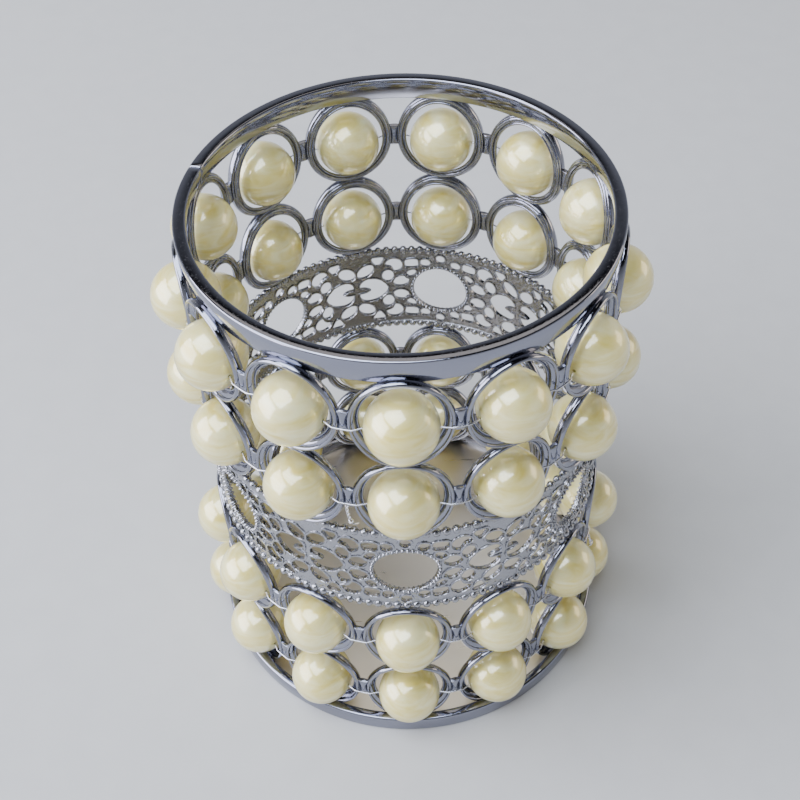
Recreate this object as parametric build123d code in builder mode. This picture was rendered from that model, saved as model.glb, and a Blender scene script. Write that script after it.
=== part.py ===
from build123d import *
from math import asin, cos, degrees, hypot, radians, sin, sqrt, tan
import os

# A round openwork cup for makeup brushes, in chrome-plated metal. Two frames of oval ring
# cells, each two rows high, stand above and below a cast lace band. A faux pearl hangs in
# every cell on a wire that runs round the outside of the wall.
# All lengths are in millimetres. The origin is the middle of the underside, with +Z up.
# Angles are in degrees round the cup from +X; the front of the cup faces -Y.

# Pearls and their wires
pearl_diameter = 14.0
pearl_bore = 1.0
pearl_sag = 1.0
wire_diameter = 0.4
wire_bend_radius = 5.0
wire_clearance = 0.1

# Ring cells: the strip of cells is rolled round and lapped by a little at its seam
cells_round = 13
rows_per_frame = 2
first_cell_angle = -146.9
seam_lap_angle = 4.0
pearl_side_gap = 0.9
pearl_end_gap = 1.2
rail_width = 1.95
ridge_width = 0.8
cell_draft = 0.35
cell_gap = 1.35
row_overlap = 0.5
wall_thickness = 2.1
pearl_set_in = 0.5
seat_depth = 0.2
web_height = 6.4
web_bite = 0.7
web_thickness = 1.8

# Lace band
lace_height = 26.1
lace_thickness = 1.2
lace_set_in = 0.3
edge_bar_diameter = 1.5
large_hole_diameter = 13.4
collar_width = 0.9
collar_proud = 0.15
cells_per_large_hole = 2
drawn_step = 21.1
drawn_rise = 11.55
pattern_lift = 0.6

# Top rim, with the strip soldered under its lip
rim_height = 5.6
rim_lap = 1.1
rim_set_in = 0.2
lip_width = 2.6
lip_thickness = 1.6
skirt_thickness = 1.2
strip_height = 1.6
strip_thickness = 0.7
strip_joint_gap = 0.3
strip_joint_angle = 77.0
rim_edge_radius = 0.3

# Base plate and the rim round it
base_thickness = 2.0
foot_rim_height = 4.4
foot_rim_width = 2.2
foot_rim_gap = 0.6
foot_edge_radius = 0.5

# Ring cell sizes, from the pearl outwards
cell_angle = (360 + seam_lap_angle) / cells_round
seam_angle = cell_angle - seam_lap_angle
hole_width = pearl_diameter + 2 * pearl_side_gap
hole_height = pearl_diameter + 2 * (pearl_sag + pearl_end_gap)
cell_width = hole_width + 2 * rail_width
cell_height = hole_height + 2 * rail_width
mouth_width = cell_width - 2 * ridge_width
mouth_height = cell_height - 2 * ridge_width
row_pitch = cell_height - row_overlap
wall_outer_radius = (cell_width + cell_gap) / (2 * sin(radians(cell_angle / 2)))
wall_inner_radius = wall_outer_radius - wall_thickness
pearl_ring_radius = wall_outer_radius - pearl_set_in

# Heights, from the ground up
frame_height = cell_height + (rows_per_frame - 1) * row_pitch
lower_frame_bottom = base_thickness - seat_depth
lace_bottom = lower_frame_bottom + frame_height - seat_depth
lace_top = lace_bottom + lace_height
pattern_middle = lace_bottom + lace_height / 2 + pattern_lift
upper_frame_bottom = lace_top - seat_depth
upper_frame_top = upper_frame_bottom + frame_height
rim_bottom = upper_frame_top - rim_lap
rim_top = rim_bottom + rim_height
lower_cells = [lower_frame_bottom + cell_height / 2 + i * row_pitch for i in range(rows_per_frame)]
upper_cells = [upper_frame_bottom + cell_height / 2 + i * row_pitch for i in range(rows_per_frame)]
cell_heights = list(reversed(lower_cells + upper_cells))
cell_angles = [first_cell_angle + i * cell_angle for i in range(cells_round)]
cells_span = (cells_round - 1) * cell_angle
first_web_angle = first_cell_angle + cell_angle / 2

# Radii of the rims and the lace band
rim_outer_radius = wall_outer_radius - rim_set_in
lip_inner_radius = rim_outer_radius - lip_width
skirt_inner_radius = rim_outer_radius - skirt_thickness
strip_inner_radius = skirt_inner_radius - strip_thickness
foot_inner_radius = wall_outer_radius + foot_rim_gap
foot_outer_radius = foot_inner_radius + foot_rim_width
lace_outer_radius = wall_outer_radius - lace_set_in
lace_inner_radius = lace_outer_radius - lace_thickness
lace_middle_radius = (lace_outer_radius + lace_inner_radius) / 2

# The web between two cells stays just under the wire where the wire leaves the web's edge
web_width = cell_gap + 2 * web_bite
web_edge_angle = cell_angle / 2 - degrees(asin(web_width / 2 / wall_outer_radius))
wire_over_web = hypot(pearl_ring_radius, pearl_ring_radius * tan(radians(web_edge_angle)))
web_outer = wire_over_web - wire_diameter / 2 - wire_clearance
web_inner = web_outer - web_thickness

# Cutters run past the surfaces that they cut
cut_margin = 1.5


def between(place, near_place, near_size, far_place, far_size):
    """Size at a place on the straight line through two known sizes."""
    return near_size + (far_size - near_size) * (place - near_place) / (far_place - near_place)


def depth_at(radius, half_width):
    """Distance out from the axis to a point of a round wall, half a width off the middle."""
    return sqrt(radius**2 - half_width**2)


def cell_size(depth, inner_width, inner_height, outer_width, outer_height):
    """Width and height of a flaring oval that follows the curve of the wall."""
    sides = (depth_at(wall_inner_radius, inner_width / 2), depth_at(wall_outer_radius, outer_width / 2))
    width = between(depth, sides[0], inner_width, sides[1], outer_width)
    height = between(depth, wall_inner_radius, inner_height, wall_outer_radius, outer_height)
    return width, height


def lace_plane(along, rise):
    """Plane on the lace wall that faces outwards, along and up from a large hole's middle."""
    along_mm = along * lace_step / drawn_step
    rise_mm = rise * lace_rise / drawn_rise
    angle = along_mm / lace_outer_radius
    outward = Vector(cos(angle), sin(angle), 0)
    origin = outward * lace_middle_radius + Vector(0, 0, pattern_middle + rise_mm)
    return Plane(origin=origin, x_dir=Vector(-sin(angle), cos(angle), 0), z_dir=outward)


# One oval blank and one flaring hole, both at angle 0
blank_back = depth_at(wall_inner_radius, cell_width / 2) - cut_margin
blank_front = wall_outer_radius + cut_margin
blank_sizes = (cell_width - 2 * cell_draft, cell_height, cell_width, cell_height)
hole_sizes = (hole_width, hole_height, mouth_width, mouth_height)

with BuildPart() as cell_blank:
    for depth in (blank_back, blank_front):
        with BuildSketch(Plane.YZ.offset(depth)):
            width, height = cell_size(depth, *blank_sizes)
            Ellipse(width / 2, height / 2)
    loft()

with BuildPart() as cell_hole:
    for depth in (blank_back, blank_front):
        with BuildSketch(Plane.YZ.offset(depth)):
            width, height = cell_size(depth, *hole_sizes)
            Ellipse(width / 2, height / 2)
    loft()

with BuildPart() as web:
    with BuildSketch(Plane.YZ.offset(web_inner)):
        Rectangle(web_width, web_height)
    extrude(amount=web_thickness)

# A ring frame stood on the ground: blanks cut to the curve of the wall, webs, then the holes
frame_cells = [cell_height / 2 + i * row_pitch for i in range(rows_per_frame)]

with BuildPart() as ring_frame:
    with Locations(*[(0, 0, height) for height in frame_cells]):
        with PolarLocations(0, cells_round, first_cell_angle, cells_span, endpoint=True):
            add(cell_blank.part)
    with BuildSketch(Plane.XY.offset(seat_depth)):
        Circle(wall_outer_radius)
        Circle(wall_inner_radius, mode=Mode.SUBTRACT)
    extrude(amount=frame_height, mode=Mode.INTERSECT)
    with Locations(*[(0, 0, height) for height in frame_cells]):
        with PolarLocations(0, cells_round - 1, first_web_angle, cells_span - cell_angle, endpoint=True):
            add(web.part)
    with Locations(*[(0, 0, height) for height in frame_cells]):
        with PolarLocations(0, cells_round, first_cell_angle, cells_span, endpoint=True):
            add(cell_hole.part, mode=Mode.SUBTRACT)

# The lower frame is cut flat to seat the lace band
with BuildPart() as lower_ring_frame:
    with Locations((0, 0, lower_frame_bottom)):
        add(ring_frame.part)
    with BuildSketch(Plane.XY.offset(lace_bottom)):
        Circle(wall_outer_radius + cut_margin)
    extrude(amount=cell_height, mode=Mode.SUBTRACT)

# The upper frame has a step round its top that seats the skirt of the rim
with BuildPart() as upper_ring_frame:
    with Locations((0, 0, upper_frame_bottom)):
        add(ring_frame.part)
    with BuildSketch(Plane.XY.offset(rim_bottom)):
        Circle(wall_outer_radius + cut_margin)
        Circle(skirt_inner_radius, mode=Mode.SUBTRACT)
    extrude(amount=rim_height, mode=Mode.SUBTRACT)

# Lace band: a thin wall with a bar along each edge and a collar round each large hole
lace_step = lace_outer_radius * radians(cell_angle)
lace_rise = lace_height / 2 - edge_bar_diameter
lace_small = min(lace_step / drawn_step, lace_rise / drawn_rise)
large_hole_step = cells_per_large_hole * cell_angle
large_holes = (cells_round - 1) // cells_per_large_hole + 1
holes_span = (large_holes - 1) * large_hole_step
second_hole_angle = first_cell_angle + large_hole_step
lace_cut_depth = lace_thickness / 2 + cut_margin

with BuildPart() as collar:
    with BuildSketch(lace_plane(0, 0)):
        Circle(large_hole_diameter / 2 + collar_width)
    extrude(amount=lace_cut_depth, both=True)
    with BuildSketch(Plane.XY.offset(lace_bottom)):
        Circle(lace_outer_radius + collar_proud)
        Circle(lace_inner_radius - collar_proud, mode=Mode.SUBTRACT)
    extrude(amount=lace_height, mode=Mode.INTERSECT)

with BuildPart() as middle_openings:
    with BuildSketch(lace_plane(0, 0)):
        Circle(large_hole_diameter / 2)
    extrude(amount=lace_cut_depth, both=True)
    for rise in (9.6, -9.6):
        with BuildSketch(lace_plane(0, rise)):
            Circle(1.1 * lace_small)
        extrude(amount=lace_cut_depth, both=True)

# Openings beside a large hole, in the upper half and then mirrored to the lower half
with BuildPart() as seam_openings:
    with BuildSketch(lace_plane(3.8, 8.1)):
        Circle(1.2 * lace_small)
    extrude(amount=lace_cut_depth, both=True)
    mirror(about=Plane.XY.offset(pattern_middle))

with BuildPart() as side_openings:
    with BuildSketch(lace_plane(3.8, 8.1)):
        Circle(1.2 * lace_small)
    extrude(amount=lace_cut_depth, both=True)
    with BuildSketch(lace_plane(7.2, 7.9)):
        RectangleRounded(3.2 * lace_small, 2.6 * lace_small, 0.8 * lace_small, rotation=-8)
    extrude(amount=lace_cut_depth, both=True)
    # Two commas that curl round each other
    with BuildSketch(lace_plane(11.6, 7.4)):
        Circle(2.1 * lace_small)
        with Locations((1.5 * lace_small, -1.6 * lace_small)):
            Circle(1.45 * lace_small, mode=Mode.SUBTRACT)
    extrude(amount=lace_cut_depth, both=True)
    with BuildSketch(lace_plane(13.1, 4.2)):
        Ellipse(1.3 * lace_small, 1.8 * lace_small)
    extrude(amount=lace_cut_depth, both=True)
    with BuildSketch(lace_plane(7.3, 4.7)):
        SlotOverall(2.7 * lace_small, 1.6 * lace_small, rotation=135)
    extrude(amount=lace_cut_depth, both=True)
    with BuildSketch(lace_plane(9.8, 2.2)):
        Ellipse(1.9 * lace_small, 1.5 * lace_small, rotation=-20)
    extrude(amount=lace_cut_depth, both=True)
    # A rounded triangle that hangs from the edge bar
    with BuildSketch(lace_plane(15.6, 9.1)) as hanging_triangle:
        RegularPolygon(2.1 * lace_small, 3, rotation=-90)
        fillet(hanging_triangle.vertices(), radius=0.5 * lace_small)
    extrude(amount=lace_cut_depth, both=True)
    with BuildSketch(lace_plane(18.75, 6.2)):
        Ellipse(2.3 * lace_small, 1.6 * lace_small, rotation=-42)
    extrude(amount=lace_cut_depth, both=True)
    mirror(about=Plane.XY.offset(pattern_middle))
    # A heart that points at the large hole, with a leaf inside it
    with BuildSketch(lace_plane(17.0, 0)):
        with BuildLine():
            tip = (-3.9 * lace_small, 0)
            shoulder = (0.4 * lace_small, 3.6 * lace_small)
            leaf_root = (3.3 * lace_small, 0.9 * lace_small)
            leaf_tip = (0.4 * lace_small, 0)
            ThreePointArc(tip, (-2.3 * lace_small, 2.6 * lace_small), shoulder)
            ThreePointArc(shoulder, (2.7 * lace_small, 2.8 * lace_small), leaf_root)
            ThreePointArc(leaf_root, (1.8 * lace_small, 0.8 * lace_small), leaf_tip)
            mirror(about=Plane.XZ)
        make_face()
    extrude(amount=lace_cut_depth, both=True)

# The same openings on the other side of a large hole
with BuildPart() as left_side_openings:
    mirror(side_openings.part, about=Plane.XZ)

with BuildPart() as left_seam_openings:
    mirror(seam_openings.part, about=Plane.XZ)

with BuildPart() as filigree_band:
    with BuildSketch(Plane.XY.offset(lace_bottom)):
        Circle(lace_outer_radius)
        Circle(lace_inner_radius, mode=Mode.SUBTRACT)
    extrude(amount=lace_height)
    with BuildSketch(Plane.XZ):
        with Locations(
            (lace_middle_radius, lace_bottom + edge_bar_diameter / 2),
            (lace_middle_radius, lace_top - edge_bar_diameter / 2),
        ):
            Circle(edge_bar_diameter / 2)
    revolve(axis=Axis.Z)
    with PolarLocations(0, large_holes, first_cell_angle, holes_span, endpoint=True):
        add(collar.part)
        add(middle_openings.part, mode=Mode.SUBTRACT)
    # The side openings run from each large hole to the next, but not across the seam
    with PolarLocations(0, large_holes - 1, first_cell_angle, holes_span - large_hole_step, endpoint=True):
        add(side_openings.part, mode=Mode.SUBTRACT)
    with PolarLocations(0, large_holes - 1, second_hole_angle, holes_span - large_hole_step, endpoint=True):
        add(left_side_openings.part, mode=Mode.SUBTRACT)
    with Locations(Rotation(0, 0, first_cell_angle)):
        add(left_seam_openings.part, mode=Mode.SUBTRACT)
    with Locations(Rotation(0, 0, first_cell_angle + holes_span)):
        add(seam_openings.part, mode=Mode.SUBTRACT)

# Top rim: a flat lip with a skirt under its outer edge
with BuildPart() as top_rim:
    with BuildSketch(Plane.XZ):
        with BuildLine():
            Polyline(
                (lip_inner_radius, rim_top),
                (rim_outer_radius, rim_top),
                (rim_outer_radius, rim_bottom),
                (skirt_inner_radius, rim_bottom),
                (skirt_inner_radius, rim_top - lip_thickness),
                (lip_inner_radius, rim_top - lip_thickness),
                close=True,
            )
        make_face()
    revolve(axis=Axis.Z)
    fillet(top_rim.edges().group_by(Axis.Z)[-1], radius=rim_edge_radius)

# The strip inside the rim is bent round and butted
with BuildPart() as rim_strip:
    with BuildSketch(Plane.XY.offset(rim_top - lip_thickness - strip_height)):
        Circle(skirt_inner_radius)
        Circle(strip_inner_radius, mode=Mode.SUBTRACT)
        with PolarLocations(skirt_inner_radius, 1, strip_joint_angle):
            Rectangle(3 * strip_thickness, strip_joint_gap, mode=Mode.SUBTRACT)
    extrude(amount=strip_height)

# Base plate and the rim round it
with BuildPart() as base_plate:
    with BuildSketch():
        Circle(foot_inner_radius)
    extrude(amount=base_thickness)

with BuildPart() as bottom_rim:
    with BuildSketch():
        Circle(foot_outer_radius)
        Circle(foot_inner_radius, mode=Mode.SUBTRACT)
    extrude(amount=foot_rim_height)
    fillet(bottom_rim.edges().group_by(Axis.Z)[-1], radius=foot_edge_radius)

# One wire, straight through each pearl and bent over each web
wire_corners = []
for i in range(cells_round):
    step = cell_angle if i < cells_round - 1 else seam_angle
    corner_radius = pearl_ring_radius / cos(radians(step / 2))
    corner_angle = radians(cell_angles[i] + step / 2)
    wire_corners.append((corner_radius * cos(corner_angle), corner_radius * sin(corner_angle)))

with BuildPart() as row_wire:
    with BuildLine() as wire_path:
        FilletPolyline(*wire_corners, radius=wire_bend_radius, close=True)
    wire_start = wire_path.wires()[0]
    with BuildSketch(Plane(origin=wire_start @ 0, z_dir=wire_start % 0)):
        Circle(wire_diameter / 2)
    sweep(path=wire_start)

with BuildPart() as bead_wires:
    with Locations(*[(0, 0, height - pearl_sag) for height in cell_heights]):
        add(row_wire.part)

# One pearl, with its bore along Y
with BuildPart() as pearl_blank:
    Sphere(pearl_diameter / 2)
    with BuildSketch(Plane.XZ):
        Circle(pearl_bore / 2)
    extrude(amount=pearl_diameter, both=True, mode=Mode.SUBTRACT)

os.makedirs("parts", exist_ok=True)

fixed_pieces = {
    "top_rim": top_rim,
    "rim_strip": rim_strip,
    "upper_ring_frame": upper_ring_frame,
    "filigree_band": filigree_band,
    "lower_ring_frame": lower_ring_frame,
    "bottom_rim": bottom_rim,
    "base_plate": base_plate,
    "bead_wires": bead_wires,
}
for name, piece in fixed_pieces.items():
    piece.part.label = name
    export_step(piece.part, f"parts/{name}.step")

# The pearls: rows count from the top, pearls count round from the seam
for row, height in enumerate(cell_heights, start=1):
    for number, angle in enumerate(cell_angles, start=1):
        x = pearl_ring_radius * cos(radians(angle))
        y = pearl_ring_radius * sin(radians(angle))
        with BuildPart() as pearl:
            with Locations(Location((x, y, height - pearl_sag), (0, 0, angle))):
                add(pearl_blank.part)
        pearl.part.label = f"row_{row}_pearl_{number:02d}"
        export_step(pearl.part, f"parts/{pearl.part.label}.step")
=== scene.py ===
import math
import random

import bpy
from mathutils import Matrix, Vector


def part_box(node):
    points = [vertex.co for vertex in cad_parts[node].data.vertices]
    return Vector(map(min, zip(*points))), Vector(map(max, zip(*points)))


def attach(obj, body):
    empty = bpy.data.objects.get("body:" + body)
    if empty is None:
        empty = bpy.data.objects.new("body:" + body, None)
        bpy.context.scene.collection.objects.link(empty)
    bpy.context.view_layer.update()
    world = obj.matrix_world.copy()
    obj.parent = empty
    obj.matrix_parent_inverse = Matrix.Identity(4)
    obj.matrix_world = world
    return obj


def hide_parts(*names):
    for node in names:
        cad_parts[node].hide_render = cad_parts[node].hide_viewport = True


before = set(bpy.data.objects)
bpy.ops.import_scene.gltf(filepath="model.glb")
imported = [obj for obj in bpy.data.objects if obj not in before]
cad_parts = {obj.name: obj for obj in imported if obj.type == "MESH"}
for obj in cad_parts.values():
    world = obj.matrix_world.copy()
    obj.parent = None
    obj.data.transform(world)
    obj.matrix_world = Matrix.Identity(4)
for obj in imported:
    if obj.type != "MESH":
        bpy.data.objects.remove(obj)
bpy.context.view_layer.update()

# The studio
# A pale board under the cup, a tall window of two panes to the upper left, a softer lamp low on
# the right and a faint card behind. The ceiling is darker than the walls, which gives plated
# metal its contrast.
mm = 0.001


def linear(hex_colour):
    """Linear RGBA of an sRGB hex colour."""
    parts = [int(hex_colour[i : i + 2], 16) / 255 for i in (1, 3, 5)]
    curve = [p / 12.92 if p <= 0.04045 else ((p + 0.055) / 1.055) ** 2.4 for p in parts]
    return (*curve, 1.0)


def add_node(tree, kind, links=None, inputs=None, **settings):
    """One shader node with its settings, its socket values and the sockets that feed it."""
    made = tree.nodes.new(kind)
    for name, value in settings.items():
        setattr(made, name, value)
    for name, value in (inputs or {}).items():
        made.inputs[name].default_value = value
    for name, source in (links or {}).items():
        tree.links.new(source, made.inputs[name])
    return made


def new_material(name):
    """An empty material and its node tree, with the output ready to link."""
    material = bpy.data.materials.new(name)
    material.use_nodes = True
    material.node_tree.nodes.clear()
    return material, material.node_tree


def finish_material(tree, shader):
    """Links a shader to the material's output."""
    add_node(tree, "ShaderNodeOutputMaterial", links={"Surface": shader.outputs[0]})


def deselect():
    """Leaves nothing selected, so that an operator touches only the new piece."""
    bpy.ops.object.select_all(action="DESELECT")


camera_place = (0.0, -194.26 * mm, 274.76 * mm)
camera_turn = (42.667, 1.159, -0.947)
camera_lens = 57.93
deselect()
bpy.ops.object.camera_add(location=camera_place, rotation=[math.radians(a) for a in camera_turn])
camera = bpy.context.object
camera.data.sensor_width = 36
camera.data.lens = camera_lens
camera.data.clip_start = 5 * mm
bpy.context.scene.camera = camera

bpy.ops.mesh.primitive_plane_add(size=1.8)
floor = bpy.context.object
floor.name = "floor"

# Matt painted board: pale grey with a faint mottle a few millimetres across
mottle_size = 8.33 * mm
floor_paint, tree = new_material("matt_painted_board")
place = add_node(tree, "ShaderNodeTexCoord")
mottle = add_node(
    tree,
    "ShaderNodeTexNoise",
    links={"Vector": place.outputs["Object"]},
    inputs={"Scale": 1 / mottle_size, "Detail": 3},
)
tint = add_node(
    tree,
    "ShaderNodeMix",
    data_type="RGBA",
    links={0: mottle.outputs["Fac"]},
    inputs={6: linear("#BCBCBB"), 7: linear("#C4C4C2")},
)
board = add_node(tree, "ShaderNodeBsdfPrincipled", links={0: tint.outputs[2]}, inputs={"Roughness": 0.8})
finish_material(tree, board)
floor.data.materials.append(floor_paint)


def softbox(name, turn, rise, distance, width, height, radiance, tint):
    """A rectangular lamp that faces the cup. Turn and rise are the direction to it in degrees."""
    turn, rise = math.radians(turn), math.radians(rise)
    towards = Vector((math.cos(turn) * math.cos(rise), math.sin(turn) * math.cos(rise), math.sin(rise)))
    place = Vector((0, 0, 60 * mm)) + towards * distance
    bpy.ops.object.light_add(type="AREA", location=place, rotation=towards.to_track_quat("Z", "Y").to_euler())
    lamp = bpy.context.object
    lamp.name = name
    lamp.data.shape = "RECTANGLE"
    lamp.data.size = width
    lamp.data.size_y = height
    lamp.data.energy = radiance * math.pi * width * height
    lamp.data.color = linear(tint)[:3]


softbox("window_pane_high", 208, 69, 1.2, 1.15, 1.0, 7.8, "#E6EFFF")
softbox("window_pane_low", 190, 20, 1.2, 1.3, 0.9, 7.8, "#F1F1FF")
softbox("side_lamp", 14, 14, 1.2, 0.6, 0.45, 3.0, "#FFEBCB")
softbox("back_card", 90, 63, 1.2, 0.9, 0.5, 1.1, "#F6EDDD")

world = bpy.data.worlds.new("studio")
bpy.context.scene.world = world
world.use_nodes = True
tree = world.node_tree
tree.nodes.clear()
place = add_node(tree, "ShaderNodeTexCoord")
axes = add_node(tree, "ShaderNodeSeparateXYZ", links={"Vector": place.outputs["Generated"]})
height = add_node(tree, "ShaderNodeValToRGB", links={"Fac": axes.outputs["Z"]})
ramp = height.color_ramp
ramp.elements[0].position = 0.0
ramp.elements[0].color = linear("#D8D8D6")
ramp.elements[1].position = 0.85
ramp.elements[1].color = linear("#1E1F25")
for position, colour in ((0.3, "#B4B6BA"), (0.56, "#8E9094"), (0.69, "#16171C")):
    ramp.elements.new(position).color = linear(colour)
sky = add_node(
    tree, "ShaderNodeBackground", links={"Color": height.outputs["Color"]}, inputs={"Strength": 1.0}
)
add_node(tree, "ShaderNodeOutputWorld", links={"Surface": sky.outputs[0]})

# The base plate
# A round disc pressed from sheet steel and plated bright. It sits inside the bottom rim and
# carries the lower ring cells.
plate_low, plate_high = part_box("base_plate")
plate_radius = plate_high.x
plate_thickness = plate_high.z - plate_low.z
plate_edge = 0.35 * mm
plate_outer_ring = 6 * mm
plate_inner_ring = 14 * mm


def select_faces(piece, chosen):
    """Selects the faces that a test picks, and nothing else, in edit mode's face mode."""
    bpy.ops.object.mode_set(mode="EDIT")
    bpy.ops.mesh.select_mode(type="FACE")
    bpy.ops.mesh.select_all(action="DESELECT")
    bpy.ops.object.mode_set(mode="OBJECT")
    for face in piece.data.polygons:
        face.select = chosen(face)
    bpy.ops.object.mode_set(mode="EDIT")


def apply_place(piece):
    """Moves the piece's place, turn and size into its mesh."""
    deselect()
    piece.select_set(True)
    bpy.context.view_layer.objects.active = piece
    bpy.ops.object.transform_apply(location=True, rotation=True, scale=True)


deselect()
bpy.ops.mesh.primitive_cylinder_add(
    vertices=180, radius=plate_radius, depth=plate_thickness, location=(0, 0, plate_thickness / 2)
)
plate = bpy.context.object
plate.name = "plated_base_disc"
select_faces(plate, lambda face: abs(face.normal.z) > 0.9)
bpy.ops.mesh.inset(thickness=plate_edge)
bpy.ops.mesh.inset(thickness=plate_outer_ring)
bpy.ops.mesh.inset(thickness=plate_inner_ring)
bpy.ops.object.mode_set(mode="OBJECT")
apply_place(plate)
bpy.ops.object.shade_smooth_by_angle(angle=math.radians(40))

# Bright nickel-chrome plate on pressed sheet: a clear reflection, softened a little by the
# rolling marks that run one way across the disc
rolling_size = 11.1 * mm
plate_metal, tree = new_material("bright_plated_sheet")
place = add_node(tree, "ShaderNodeTexCoord")
stretch = add_node(
    tree, "ShaderNodeMapping", links={"Vector": place.outputs["Object"]}, inputs={"Scale": (1, 8, 1)}
)
rolling = add_node(
    tree,
    "ShaderNodeTexNoise",
    links={"Vector": stretch.outputs["Vector"]},
    inputs={"Scale": 1 / rolling_size, "Detail": 3},
)
haze = add_node(
    tree,
    "ShaderNodeMapRange",
    links={"Value": rolling.outputs["Fac"]},
    inputs={"From Min": 0.3, "From Max": 0.7, "To Min": 0.27, "To Max": 0.33},
)
ripple = add_node(
    tree,
    "ShaderNodeBump",
    links={"Height": rolling.outputs["Fac"]},
    inputs={"Strength": 0.02, "Distance": 0.2 * mm},
)
sheet = add_node(
    tree,
    "ShaderNodeBsdfPrincipled",
    links={"Roughness": haze.outputs["Result"], "Normal": ripple.outputs["Normal"]},
    inputs={"Base Color": linear("#DCD5C9"), "Metallic": 1.0},
)
finish_material(tree, sheet)
plate.data.materials.append(plate_metal)
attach(plate, "cup")
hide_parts("base_plate")

# The bottom rim
# A band of thick strip rolled into a hoop, with its top edge rounded over. It grips the edge of
# the base plate and stands on the table.
foot_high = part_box("bottom_rim")[1]
foot_outer = foot_high.x
foot_inner = plate_radius
foot_height = foot_high.z
foot_round = 0.55 * mm
hoop_steps = 180


def spin_hoop(name, inner, outer, bottom, top, joint_turn=0.0, joint_gap=0.0):
    """A hoop of oblong section, spun round the cup's axis, closed or with a narrow butt joint."""
    deselect()
    middle = ((inner + outer) / 2, 0, (bottom + top) / 2)
    bpy.ops.mesh.primitive_plane_add(size=1, location=middle, rotation=(math.pi / 2, 0, 0))
    hoop = bpy.context.object
    hoop.name = name
    hoop.scale = (outer - inner, top - bottom, 1)
    apply_place(hoop)
    hoop.data.transform(Matrix.Rotation(joint_turn + joint_gap / 2, 4, "Z"))
    bpy.ops.object.mode_set(mode="EDIT")
    if not joint_gap:
        bpy.ops.mesh.select_all(action="SELECT")
        bpy.ops.mesh.delete(type="ONLY_FACE")
    bpy.ops.mesh.select_all(action="SELECT")
    bpy.ops.mesh.spin(steps=hoop_steps, angle=2 * math.pi - joint_gap, center=(0, 0, 0), axis=(0, 0, 1))
    bpy.ops.mesh.select_all(action="SELECT")
    bpy.ops.mesh.remove_doubles(threshold=0.001 * mm)
    bpy.ops.mesh.normals_make_consistent(inside=False)
    bpy.ops.object.mode_set(mode="OBJECT")
    return hoop


def round_edges(piece, width, segments=3, angle=50):
    """Rounds the sharp edges of a piece."""
    deselect()
    piece.select_set(True)
    bpy.context.view_layer.objects.active = piece
    rounding = piece.modifiers.new("rounding", "BEVEL")
    rounding.width = width
    rounding.segments = segments
    rounding.limit_method = "ANGLE"
    rounding.angle_limit = math.radians(angle)
    bpy.ops.object.modifier_apply(modifier=rounding.name)
    bpy.ops.object.shade_smooth_by_angle(angle=math.radians(35))


foot = spin_hoop("rolled_foot_rim", foot_inner, foot_outer, 0, foot_height)
round_edges(foot, foot_round)


def chrome(name, hex_colour, roughness, grain_mm, bump):
    """Polished chrome plate: nearly a mirror, with a fine orange peel and a few dull specks."""
    metal, tree = new_material(name)
    place = add_node(tree, "ShaderNodeTexCoord")
    peel = add_node(
        tree,
        "ShaderNodeTexNoise",
        links={"Vector": place.outputs["Object"]},
        inputs={"Scale": 1 / (grain_mm * mm), "Detail": 2},
    )
    specks = add_node(
        tree,
        "ShaderNodeTexNoise",
        links={"Vector": place.outputs["Object"]},
        inputs={"Scale": 1 / (0.35 * mm), "Detail": 1},
    )
    haze = add_node(
        tree,
        "ShaderNodeMapRange",
        links={"Value": specks.outputs["Fac"]},
        inputs={"From Min": 0.55, "From Max": 0.75, "To Min": roughness, "To Max": roughness + 0.2},
    )
    relief = add_node(
        tree,
        "ShaderNodeBump",
        links={"Height": peel.outputs["Fac"]},
        inputs={"Strength": bump, "Distance": 0.2 * mm},
    )
    plate = add_node(
        tree,
        "ShaderNodeBsdfPrincipled",
        links={"Roughness": haze.outputs["Result"], "Normal": relief.outputs["Normal"]},
        inputs={"Base Color": linear(hex_colour), "Metallic": 1.0},
    )
    finish_material(tree, plate)
    return metal


# The rims are the smoothest metal on the cup, so their reflections are long and clear
# Its grey is set well below real chrome: painted shade, standing in for dark surroundings seen in its
# reflections
rim_plate = chrome("polished_chrome_strip", "#9092A0", 0.07, 5.0, 0.12)
foot.data.materials.append(rim_plate)
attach(foot, "cup")
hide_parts("bottom_rim")

# The ring cells
# Each frame is two rows of oval rings, die cast as a strip, rolled round and soldered at its
# seam. A ring has a thin ridge outside, a sloping bezel, and two rails on its inner side.
cells_round = 13
seam_lap = math.radians(4)
first_cell = math.radians(-146.9)
cell_turn = (2 * math.pi + seam_lap) / cells_round
cell_turns = [first_cell + i * cell_turn for i in range(cells_round)]
wall_outer = 43.506 * mm
wall_inner = 41.406 * mm
wall_middle = (wall_outer + wall_inner) / 2
ring_width = 19.7 * mm
ring_height = 22.3 * mm
row_pitch = 21.8 * mm
lower_cells = [12.95 * mm, 12.95 * mm + row_pitch]
upper_cells = [82.75 * mm, 82.75 * mm + row_pitch]
ring_segments = 56


def rail(name, in_from_edge, width, depth, out):
    """An oval rail of a ring cell, a squashed circle in section. Out is from the wall's middle."""
    half_width = ring_width / 2 - in_from_edge
    half_height = ring_height / 2 - in_from_edge
    mean = (half_width + half_height) / 2
    deselect()
    bpy.ops.mesh.primitive_torus_add(
        major_segments=ring_segments,
        minor_segments=10,
        major_radius=mean,
        minor_radius=width / 2,
        rotation=(0, math.pi / 2, 0),
    )
    made = bpy.context.object
    made.name = name
    made.scale = (half_height / mean, half_width / mean, depth / width)
    apply_place(made)
    made.location.x = out
    apply_place(made)
    return made


def roll_round(piece):
    """Rolls a flat piece, drawn with X out of the wall, to the curve of the wall."""
    for vertex in piece.data.vertices:
        radius = wall_middle + vertex.co.x
        vertex.co.x = math.sqrt(radius**2 - vertex.co.y**2)


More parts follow.
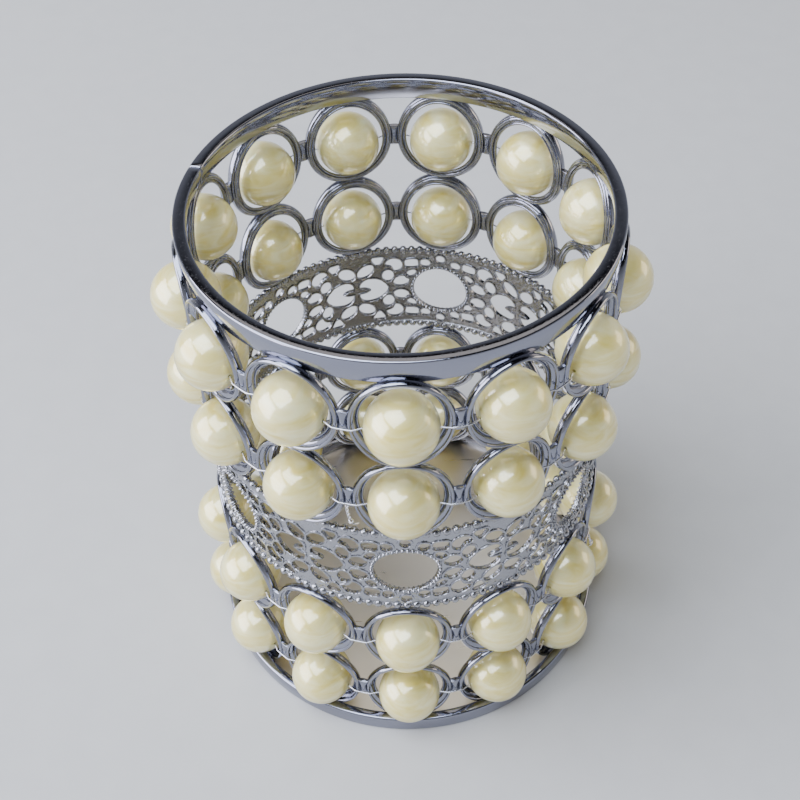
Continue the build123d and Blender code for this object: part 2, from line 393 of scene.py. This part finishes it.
def join(pieces, name):
    """Joins pieces into one object."""
    deselect()
    for piece in pieces:
        piece.select_set(True)
    bpy.context.view_layer.objects.active = pieces[0]
    bpy.ops.object.join()
    pieces[0].name = name
    return pieces[0]


def copy_to(piece, place):
    """A copy of a piece with its own mesh, moved by a matrix."""
    made = piece.copy()
    made.data = piece.data.copy()
    made.data.transform(place)
    bpy.context.scene.collection.objects.link(made)
    return made


outer_rail = rail("outer_rail", 0.48 * mm, 0.96 * mm, 1.9 * mm, 0.75 * mm)
back_rail = rail("back_rail", 1.0 * mm, 1.1 * mm, 1.0 * mm, -0.1 * mm)
inner_rail = rail("inner_rail", 1.95 * mm, 0.56 * mm, 0.8 * mm, -0.2 * mm)

# The bezel slopes from the inner rail out to the ridge
deselect()
bpy.ops.mesh.primitive_cylinder_add(
    vertices=ring_segments, radius=1, depth=1.5 * mm, end_fill_type="NOTHING", rotation=(0, math.pi / 2, 0)
)
bezel = bpy.context.object
apply_place(bezel)
bezel_back = 1.95 * mm
bezel_front = 0.7 * mm
for vertex in bezel.data.vertices:
    inset = bezel_back if vertex.co.x < 0 else bezel_front
    vertex.co.y *= ring_width / 2 - inset
    vertex.co.z *= ring_height / 2 - inset
    vertex.co.x += 0.35 * mm
bpy.ops.object.mode_set(mode="EDIT")
bpy.ops.mesh.select_all(action="SELECT")
bpy.ops.mesh.subdivide(number_cuts=1)
bpy.ops.mesh.normals_make_consistent(inside=False)
bpy.ops.object.mode_set(mode="OBJECT")
sheet_wall = bezel.modifiers.new("sheet", "SOLIDIFY")
sheet_wall.thickness = 0.35 * mm
sheet_wall.offset = 0
bpy.ops.object.modifier_apply(modifier=sheet_wall.name)

ring = join([outer_rail, back_rail, inner_rail, bezel], "ring_cell")
roll_round(ring)
bpy.ops.object.shade_smooth()

# The web between two rings is a waisted pin that the wire crosses
web_waist = 0.72 * mm
web_half_depth = 0.8 * mm
web_half_height = 2.5 * mm
web_middle = 43.2 * mm
deselect()
bpy.ops.mesh.primitive_cylinder_add(
    vertices=16, radius=1, depth=2 * web_half_height, location=(web_middle, 0, 0)
)
web = bpy.context.object
web.scale = (web_half_depth, web_waist, 1)
apply_place(web)
bpy.ops.object.mode_set(mode="EDIT")
for part in (-0.8, -0.6, -0.35, 0, 0.35, 0.6, 0.8):
    bpy.ops.mesh.select_all(action="SELECT")
    bpy.ops.mesh.bisect(plane_co=(0, 0, part * web_half_height), plane_no=(0, 0, 1))
bpy.ops.object.mode_set(mode="OBJECT")
for vertex in web.data.vertices:
    flare = abs(vertex.co.z / web_half_height) ** 2.4
    vertex.co.y *= 1 + 1.2 * flare
    vertex.co.x = web_middle + (vertex.co.x - web_middle) * (1 - 0.3 * flare)
round_edges(web, 0.3 * mm, segments=2)

# Chrome over a die casting is as bright as the rims, but a finer orange peel breaks it up
# Its grey is set well below real chrome: painted shade, standing in for dark surroundings seen in its
# reflections
frame_plate = chrome("die_cast_chrome", "#8F919D", 0.09, 1.2, 0.14)


def ring_frame(name, node, rows):
    """One frame of ring cells and webs at the given heights."""
    parts = []
    for row in rows:
        lift = Matrix.Translation((0, 0, row))
        for turn in cell_turns:
            parts.append(copy_to(ring, lift @ Matrix.Rotation(turn, 4, "Z")))
        for turn in cell_turns[:-1]:
            parts.append(copy_to(web, lift @ Matrix.Rotation(turn + cell_turn / 2, 4, "Z")))
    made = join(parts, name)
    made.data.materials.append(frame_plate)
    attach(made, "cup")
    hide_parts(node)
    return made


ring_frame("lower_ring_cells", "lower_ring_frame", lower_cells)
ring_frame("upper_ring_cells", "upper_ring_frame", upper_cells)
bpy.data.objects.remove(ring)
bpy.data.objects.remove(web)

# The lace band
# Cast in a strip like the rings: a scroll pattern pierced through a thin wall, with a row of
# small beads along each edge and round each large hole, all cast in one and plated.
# It is drawn flat, in millimetres, and rolled round afterwards.
lace_low, lace_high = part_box("filigree_band")
lace_outer = 43.206
lace_sheet = 42.606
lace_thickness = 0.6
lace_middle = (lace_low.z + lace_high.z) / 2 / mm + 0.5
lace_half_height = 13.05
lace_length = 2 * math.pi * lace_outer
lace_seam = math.radians(-158.9)
hole_count = 7
hole_radius = 6.7
hole_places = [(cell_turns[2 * i] - lace_seam) * lace_outer for i in range(hole_count)]


def placed(points, along, rise, turn=0):
    """Points turned by an angle in degrees and moved to a place on the drawn strip."""
    c, s = math.cos(math.radians(turn)), math.sin(math.radians(turn))
    return [(along + x * c - y * s, rise + x * s + y * c) for x, y in points]


def oval(half_width, half_height, count=20, squareness=1.0):
    """An oval, squarer at its corners where squareness is below 1."""
    points = []
    for i in range(count):
        angle = 2 * math.pi * i / count
        x, y = math.cos(angle), math.sin(angle)
        points.append(
            (
                half_width * math.copysign(abs(x) ** squareness, x),
                half_height * math.copysign(abs(y) ** squareness, y),
            )
        )
    return points


def comma(radius, bite_along, bite_rise, bite_radius, count=28):
    """A round opening with a round bite out of it."""
    points = []
    reach = math.hypot(bite_along, bite_rise)
    towards = math.atan2(bite_rise, bite_along)
    for i in range(count):
        off = 2 * math.pi * i / count
        across = reach * math.sin(off)
        out = radius
        if abs(across) < bite_radius and math.cos(off) > 0:
            out = min(radius, reach * math.cos(off) - math.sqrt(bite_radius**2 - across**2))
        points.append((out * math.cos(towards + off), out * math.sin(towards + off)))
    return points


def rounded_triangle(radius, corner_reach, count=24):
    """A triangle with its point down and its corners cut short."""
    points = []
    for i in range(count):
        angle = 2 * math.pi * i / count
        off = (angle + math.pi / 2) % (2 * math.pi / 3) - math.pi / 3
        out = min(radius / 2 / math.cos(off), corner_reach)
        points.append((out * math.cos(angle), out * math.sin(angle)))
    return points


def arc(start, through, end, count):
    """Points of the arc from a start through a middle point, without its end."""
    first, second, third = Vector(start), Vector(through), Vector(end)
    side_a, side_b = second - first, third - first
    cross = 2 * (side_a.x * side_b.y - side_a.y * side_b.x)
    square_a, square_b = side_a.length_squared, side_b.length_squared
    centre = first + Vector(
        (
            (side_b.y * square_a - side_a.y * square_b) / cross,
            (side_a.x * square_b - side_b.x * square_a) / cross,
        )
    )
    from_angle = math.atan2(*(first - centre).yx)
    sweep = (math.atan2(*(third - centre).yx) - from_angle) % (2 * math.pi)
    if cross < 0:
        sweep -= 2 * math.pi
    radius = (first - centre).length
    return [
        (
            centre.x + radius * math.cos(from_angle + sweep * i / count),
            centre.y + radius * math.sin(from_angle + sweep * i / count),
        )
        for i in range(count)
    ]


def heart():
    """A heart with its tip to the left and a leaf that reaches in from the right."""
    tip, shoulder, leaf_root, leaf_tip = (-3.9, 0), (0.4, 3.65), (3.3, 0.8), (0.5, 0)
    half = arc(tip, (-2.3, 2.6), shoulder, 9)
    half += arc(shoulder, (2.7, 2.9), leaf_root, 7)
    half += arc(leaf_root, (1.8, 0.7), leaf_tip, 5)
    return half + [leaf_tip] + [(x, -y) for x, y in reversed(half)][:-1]


def grown(points, amount):
    """An outline moved outwards by an amount."""
    pairs = list(zip(points, points[1:] + points[:1]))
    area = sum(a[0] * b[1] - b[0] * a[1] for a, b in pairs)
    side = math.copysign(amount, area)
    moved = []
    for before, here, after in zip([points[-1]] + points[:-1], points, points[1:] + points[:1]):
        run = Vector((after[0] - before[0], after[1] - before[1])).normalized()
        moved.append((here[0] + side * run.y, here[1] - side * run.x))
    return moved


over_hole = placed(oval(1.1, 1.2), 0, 9.6)
beside_hole = placed(oval(1.25, 1.2), 3.8, 8.1)
scrolls = [
    beside_hole,
    placed(oval(1.7, 1.35, squareness=0.6), 7.2, 7.9, -6),
    placed(comma(2.15, 1.5, -1.6, 1.4), 11.6, 7.4),
    placed(oval(1.45, 1.9), 13.1, 4.1),
    placed(oval(1.45, 0.9), 7.3, 4.7, 135),
    placed(oval(2.0, 1.6), 9.8, 2.2, -20),
    placed(rounded_triangle(2.3, 1.6), 15.6, 9.1),
    placed(oval(2.45, 1.65), 18.75, 6.2, -42),
]

drawing = bpy.data.curves.new("lace_drawing", "CURVE")
drawing.dimensions = "2D"
drawing.fill_mode = "BOTH"
drawing.extrude = lace_thickness / 2


def draw(points, sheet=drawing):
    """Adds one closed outline to a drawing."""
    outline = sheet.splines.new("POLY")
    outline.points.add(len(points) - 1)
    for point, (along, rise) in zip(outline.points, points):
        point.co = (along, rise, 0, 1)
    outline.use_cyclic_u = True


# The casting is rounded like wire along every opening, and stands deeper there than it is wide
piping_radius = 0.36
piping_offset = 0.3
piping_stretch = 1.6
piping = bpy.data.curves.new("lace_piping", "CURVE")
piping.dimensions = "3D"
piping.bevel_depth = piping_radius
piping.bevel_resolution = 1

edge_steps = 132
edge_waver = 0.12
edge_inset = 0.65
band_half = lace_half_height - edge_inset
lower_edge = []
for i in range(edge_steps + 1):
    waver = edge_waver * ((-1) ** i + 0.5 * math.cos(6 * math.pi * i / edge_steps))
    lower_edge.append((lace_length * i / edge_steps, waver - band_half))
draw(lower_edge + [(along, -rise) for along, rise in reversed(lower_edge)])
for number, hole_place in enumerate(hole_places):
    shapes = [oval(hole_radius, hole_radius, count=56), over_hole, [(x, -y) for x, y in over_hole]]
    for side in (1, -1):
        at_seam = number == (hole_count - 1 if side == 1 else 0)
        upper = [beside_hole] if at_seam else scrolls
        for shape in upper:
            shapes.append([(side * x, y) for x, y in shape])
            shapes.append([(side * x, -y) for x, y in shape])
        if not at_seam:
            shapes.append([(side * x, y) for x, y in placed(heart(), 17, 0)])
    for shape in shapes:
        draw(placed(shape, hole_place, 0))
        draw(placed(grown(shape, piping_offset), hole_place, 0), piping)

lace = bpy.data.objects.new("cast_lace_band", drawing)
bpy.context.scene.collection.objects.link(lace)
deselect()
lace.select_set(True)
bpy.context.view_layer.objects.active = lace
bpy.ops.object.convert(target="MESH")

# The flat faces are filled again with compact triangles, and long edges are divided, so that
# the strip bends smoothly when it is rolled round
longest_run = 3.2
select_faces(lace, lambda face: abs(face.normal.z) > 0.99)
bpy.ops.mesh.beautify_fill(angle_limit=math.radians(1))
bpy.ops.mesh.select_all(action="SELECT")
bpy.ops.mesh.remove_doubles(threshold=0.001)
bpy.ops.mesh.select_mode(type="EDGE")
bpy.ops.object.mode_set(mode="OBJECT")
for _ in range(10):
    places = [vertex.co.x for vertex in lace.data.vertices]
    long_edges = 0
    for edge in lace.data.edges:
        first, last = edge.vertices
        edge.select = abs(places[first] - places[last]) > longest_run
        long_edges += edge.select
    if not long_edges:
        break
    for piece in [*lace.data.vertices, *lace.data.polygons]:
        piece.select = False
    bpy.ops.object.mode_set(mode="EDIT")
    bpy.ops.mesh.subdivide(number_cuts=1)
    bpy.ops.mesh.select_all(action="SELECT")
    bpy.ops.mesh.quads_convert_to_tris(quad_method="SHORTEST_DIAGONAL", ngon_method="BEAUTY")
    bpy.ops.object.mode_set(mode="OBJECT")


def wrapped(along, rise, out):
    """The place on the cup of a point of the drawn strip."""
    turn = lace_seam + along / lace_outer
    radius = lace_sheet + out
    return Vector((radius * math.cos(turn), radius * math.sin(turn), lace_middle + rise)) * mm


pipes = bpy.data.objects.new("lace_piping", piping)
bpy.context.scene.collection.objects.link(pipes)
deselect()
pipes.select_set(True)
bpy.context.view_layer.objects.active = pipes
bpy.ops.object.convert(target="MESH")
for vertex in pipes.data.vertices:
    vertex.co.z *= piping_stretch
for vertex in [*lace.data.vertices, *pipes.data.vertices]:
    vertex.co = wrapped(*vertex.co)

# Each bead is cast right through the strip, so it stands proud of both faces
bead_half_depth = 0.95


def cast_bead(radius, segments, rings):
    """A small cast bead at the origin, stretched to reach through the strip along X."""
    deselect()
    bpy.ops.mesh.primitive_uv_sphere_add(segments=segments, ring_count=rings, radius=radius * mm)
    bead = bpy.context.object
    bead.scale.x = bead_half_depth / radius
    apply_place(bead)
    return bead


edge_bead = cast_bead(0.96, 8, 6)
hole_bead = cast_bead(0.52, 7, 4)
bead_row = lace_half_height - 0.94
bead_ring = hole_radius + 0.42
beads_in_edge = 132
beads_round_hole = 42
parts = [lace, pipes]
for rise in (bead_row, -bead_row):
    for i in range(beads_in_edge):
        along = lace_length * i / beads_in_edge
        turn = Matrix.Rotation(lace_seam + along / lace_outer, 4, "Z")
        parts.append(copy_to(edge_bead, Matrix.Translation(wrapped(along, rise, 0)) @ turn))
for hole_place in hole_places:
    for i in range(beads_round_hole):
        angle = 2 * math.pi * i / beads_round_hole
        along = hole_place + bead_ring * math.cos(angle)
        rise = bead_ring * math.sin(angle)
        turn = Matrix.Rotation(lace_seam + along / lace_outer, 4, "Z")
        parts.append(copy_to(hole_bead, Matrix.Translation(wrapped(along, rise, 0)) @ turn))
lace = join(parts, "cast_lace_band")
bpy.data.objects.remove(edge_bead)
bpy.data.objects.remove(hole_bead)
bpy.ops.object.shade_smooth_by_angle(angle=math.radians(50))

# Chrome over a sand casting keeps the grain of the mould, so it glitters more than it mirrors
# Its grey is set below real chrome: painted shade, standing in for dark surroundings seen in its reflections
lace_plate = chrome("sand_cast_chrome", "#A0A1A7", 0.11, 0.9, 1.0)
lace.data.materials.clear()
lace.data.materials.append(lace_plate)
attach(lace, "cup")
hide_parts("filigree_band")

# The top rim
# A hoop of rolled strip with a thin skirt below its outer edge, which draws in a little towards
# the upper rings that it is soldered to. Its ends meet in a fine butt joint at the left.
rim_low, rim_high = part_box("top_rim")
rim_outer = rim_high.x
rim_top = rim_high.z
lip_inner = rim_outer - 2.6 * mm
lip_bottom = rim_top - 1.6 * mm
skirt_inner = rim_outer - 1.2 * mm
skirt_taper = 0.55 * mm
skirt_inner_taper = 0.2 * mm
rim_joint_turn = math.radians(163)
rim_joint_gap = 0.1 * mm / rim_outer
rim = spin_hoop("rolled_top_rim", lip_inner, rim_outer, rim_low.z, rim_top, rim_joint_turn, rim_joint_gap)
bpy.ops.object.mode_set(mode="EDIT")
for level in (lip_bottom, lip_bottom - 0.05 * mm):
    bpy.ops.mesh.select_all(action="SELECT")
    bpy.ops.mesh.bisect(plane_co=(0, 0, level), plane_no=(0, 0, 1))
bpy.ops.object.mode_set(mode="OBJECT")
for vertex in rim.data.vertices:
    if vertex.co.z < lip_bottom - 0.02 * mm:
        radius = vertex.co.xy.length
        drop = (lip_bottom - vertex.co.z) / (lip_bottom - rim_low.z)
        if radius < skirt_inner:
            wanted = skirt_inner - skirt_inner_taper * drop
        else:
            wanted = rim_outer - skirt_taper * drop
        vertex.co.x *= wanted / radius
        vertex.co.y *= wanted / radius
round_edges(rim, 0.4 * mm)
rim.data.materials.append(rim_plate)
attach(rim, "cup")
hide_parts("top_rim")

# The strip inside the rim
# Flat strip bent round under the lip and soldered to the skirt. Its ends meet in a joint that
# shows at the back.
strip_low, strip_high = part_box("rim_strip")
strip_inner = skirt_inner - 0.7 * mm
strip_joint_turn = math.radians(77)
strip_joint_gap = 0.3 * mm / skirt_inner
strip = spin_hoop(
    "bent_rim_strip", strip_inner, skirt_inner, strip_low.z, strip_high.z, strip_joint_turn, strip_joint_gap
)
round_edges(strip, 0.15 * mm, segments=2)

# The strip is plated as smooth as the rim, and catches the light a little more brightly
strip_plate = chrome("bright_chrome_strip", "#C6C8CC", 0.1, 5.0, 0.12)
strip.data.materials.append(strip_plate)
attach(strip, "cup")
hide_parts("rim_strip")

# The pearls
# Moulded plastic beads dipped in pearl lacquer, drilled through the middle and threaded on wire.
# Each turns freely, so each rides on its own body.
pearl_radius = 7 * mm
bore_radius = 0.4 * mm
pearl_segments = 48
pearl_rings = 32
swirl_size = 9 * mm
deselect()
bpy.ops.mesh.primitive_uv_sphere_add(
    segments=pearl_segments, ring_count=pearl_rings, radius=pearl_radius, rotation=(math.pi / 2, 0, 0)
)
pearl = bpy.context.object
apply_place(pearl)
pole_reach = pearl_radius * math.cos(math.pi / pearl_rings * 1.5)
select_faces(pearl, lambda face: abs(face.center.y) > pole_reach)
bpy.ops.mesh.delete(type="FACE")
bpy.ops.object.mode_set(mode="OBJECT")
for vertex in pearl.data.vertices:
    if abs(vertex.co.y) > pole_reach:
        shrink = bore_radius / math.hypot(vertex.co.x, vertex.co.z)
        vertex.co.x *= shrink
        vertex.co.z *= shrink
bpy.ops.object.mode_set(mode="EDIT")
bpy.ops.mesh.select_mode(type="EDGE")
bpy.ops.mesh.select_all(action="DESELECT")
bpy.ops.mesh.select_non_manifold()
bpy.ops.mesh.bridge_edge_loops()
bpy.ops.mesh.select_all(action="SELECT")
bpy.ops.mesh.normals_make_consistent(inside=False)
bpy.ops.object.mode_set(mode="OBJECT")
bpy.ops.object.shade_smooth_by_angle(angle=math.radians(40))

# Pearl lacquer on plastic: creamy and a little uneven, with faint swirls from dipping and a
# soft clear gloss
pearl_lacquer, tree = new_material("pearl_lacquer_on_plastic")
place = add_node(tree, "ShaderNodeTexCoord")
stretch = add_node(
    tree, "ShaderNodeMapping", links={"Vector": place.outputs["Object"]}, inputs={"Scale": (1, 1, 3.5)}
)
swirl = add_node(
    tree,
    "ShaderNodeTexNoise",
    links={"Vector": stretch.outputs["Vector"]},
    inputs={"Scale": 1 / swirl_size, "Detail": 5, "Distortion": 1.2},
)
bands = add_node(
    tree,
    "ShaderNodeMapRange",
    links={"Value": swirl.outputs["Fac"]},
    inputs={"From Min": 0.3, "From Max": 0.7},
)
cream = add_node(
    tree,
    "ShaderNodeMix",
    data_type="RGBA",
    links={0: bands.outputs["Result"]},
    inputs={6: linear("#E6D46C"), 7: linear("#FAF3B8")},
)
relief = add_node(
    tree,
    "ShaderNodeBump",
    links={"Height": swirl.outputs["Fac"]},
    inputs={"Strength": 0.15, "Distance": 0.3 * mm},
)
lacquer = add_node(
    tree,
    "ShaderNodeBsdfPrincipled",
    links={"Base Color": cream.outputs[2], "Normal": relief.outputs["Normal"]},
    inputs={
        "Roughness": 0.36,
        "Metallic": 0.2,
        "Subsurface Weight": 0.25,
        "Subsurface Radius": (1.0, 0.8, 0.4),
        "Subsurface Scale": 2 * mm,
        "Coat Weight": 1.0,
        "Coat Roughness": 0.09,
        "Coat IOR": 2.0,
    },
)
finish_material(tree, lacquer)
pearl.data.materials.append(pearl_lacquer)

pearl_ring = wall_outer - 0.5 * mm
pearl_sag = 1 * mm
for row, height in enumerate(reversed(lower_cells + upper_cells), start=1):
    for number, turn in enumerate(cell_turns, start=1):
        place = (pearl_ring * math.cos(turn), pearl_ring * math.sin(turn), height - pearl_sag)
        bead = copy_to(pearl, Matrix.Translation(place) @ Matrix.Rotation(turn, 4, "Z"))
        bead.name = f"lacquered_pearl_{row}_{number:02d}"
        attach(bead, f"row_{row}_pearl_{number:02d}")
        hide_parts(f"row_{row}_pearl_{number:02d}")
bpy.data.objects.remove(pearl)

# The wires
# Soft bright wire, one length for each row, threaded through the pearls and pulled over the webs
# by hand, so it kinks a little. Each length ends in a twist that sticks out between two pearls.
random.seed(4)
wire_radius = 0.17 * mm
bore_slack = 0.1 * mm
corner_radius = 44.4 * mm
seam_corner_radius = 44.1 * mm
bend_half_angle = math.radians(2.3)
web_slip = 0.25 * mm
bore_reach = 0.98 * pearl_radius


def tube(name, points, radius, closed):
    """A round wire through the given points, as a mesh."""
    path = bpy.data.curves.new(name, "CURVE")
    path.dimensions = "3D"
    path.bevel_depth = radius
    path.bevel_resolution = 2
    path.use_fill_caps = True
    line = path.splines.new("POLY")
    line.points.add(len(points) - 1)
    for point, place in zip(line.points, points):
        point.co = (*place, 1)
    line.use_cyclic_u = closed
    made = bpy.data.objects.new(name, path)
    bpy.context.scene.collection.objects.link(made)
    deselect()
    made.select_set(True)
    bpy.context.view_layer.objects.active = made
    bpy.ops.object.convert(target="MESH")
    bpy.ops.object.shade_smooth()
    return made


def shaken(amount):
    """A small random slip."""
    return random.uniform(-amount, amount)


def row_wire(height):
    """The points of one row's wire: straight through each pearl and bent over each web."""
    points = []
    for i, turn in enumerate(cell_turns):
        step = cell_turn if i < cells_round - 1 else cell_turn - seam_lap
        bore = Vector((pearl_ring * math.cos(turn), pearl_ring * math.sin(turn), height))
        along = Vector((-math.sin(turn), math.cos(turn), 0))
        slip = Vector((math.cos(turn), math.sin(turn), 0)) * shaken(bore_slack)
        slip.z = shaken(bore_slack)
        for reach in (-bore_reach, bore_reach):
            points.append(bore + slip + along * reach)
        corner = turn + step / 2
        peak = corner_radius if i < cells_round - 1 else seam_corner_radius
        rise = height + shaken(web_slip)
        for part in (-1, -0.35, 0.35, 1):
            bend = corner + part * bend_half_angle
            points.append(Vector((peak * math.cos(bend), peak * math.sin(bend), rise)))
    return points


parts = []
for height in lower_cells + upper_cells:
    parts.append(tube("row_wire", row_wire(height - pearl_sag), wire_radius, True))

# The twisted ends, one pair for each row
twist_turns = 2.5
twist_steps = 26
twist_radius = 44.6 * mm
twist_bow = 0.5 * mm
twist_spread = 0.24 * mm
twist_splay = 3 * mm
twist_lean = 1.2 * mm
twist_length = 4.2 * mm
twist_drop = 0.1 * mm
twist_wire_radius = 0.9 * wire_radius
twist_places = [(5, upper_cells[1]), (1, upper_cells[0]), (4, lower_cells[1]), (9, lower_cells[0])]
for index, height in twist_places:
    corner = cell_turns[index] + cell_turn / 2
    outward = Vector((math.cos(corner), math.sin(corner), 0))
    sideways = Vector((-math.sin(corner), math.cos(corner), 0))
    for strand in (0, 1):
        points = []
        for i in range(twist_steps):
            part = i / (twist_steps - 1)
            angle = part * twist_turns * 2 * math.pi + strand * math.pi
            spread = twist_spread + max(part - 0.75, 0) * twist_splay
            place = outward * (twist_radius + twist_bow * math.sin(part * 2))
            place += sideways * (spread * math.cos(angle) + twist_lean * part**2)
            place += outward * spread * abs(math.sin(angle)) * 0.8
            place.z = height - pearl_sag - twist_drop - part * twist_length
            points.append(place)
        parts.append(tube("twist", points, twist_wire_radius, False))
wires = join(parts, "hand_pulled_wires")

# Drawn wire is bright, with a slight haze that softens its highlight
bright_wire = chrome("bright_drawn_wire", "#DADADF", 0.16, 0.8, 0.05)
wires.data.materials.append(bright_wire)
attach(wires, "cup")
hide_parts("bead_wires")
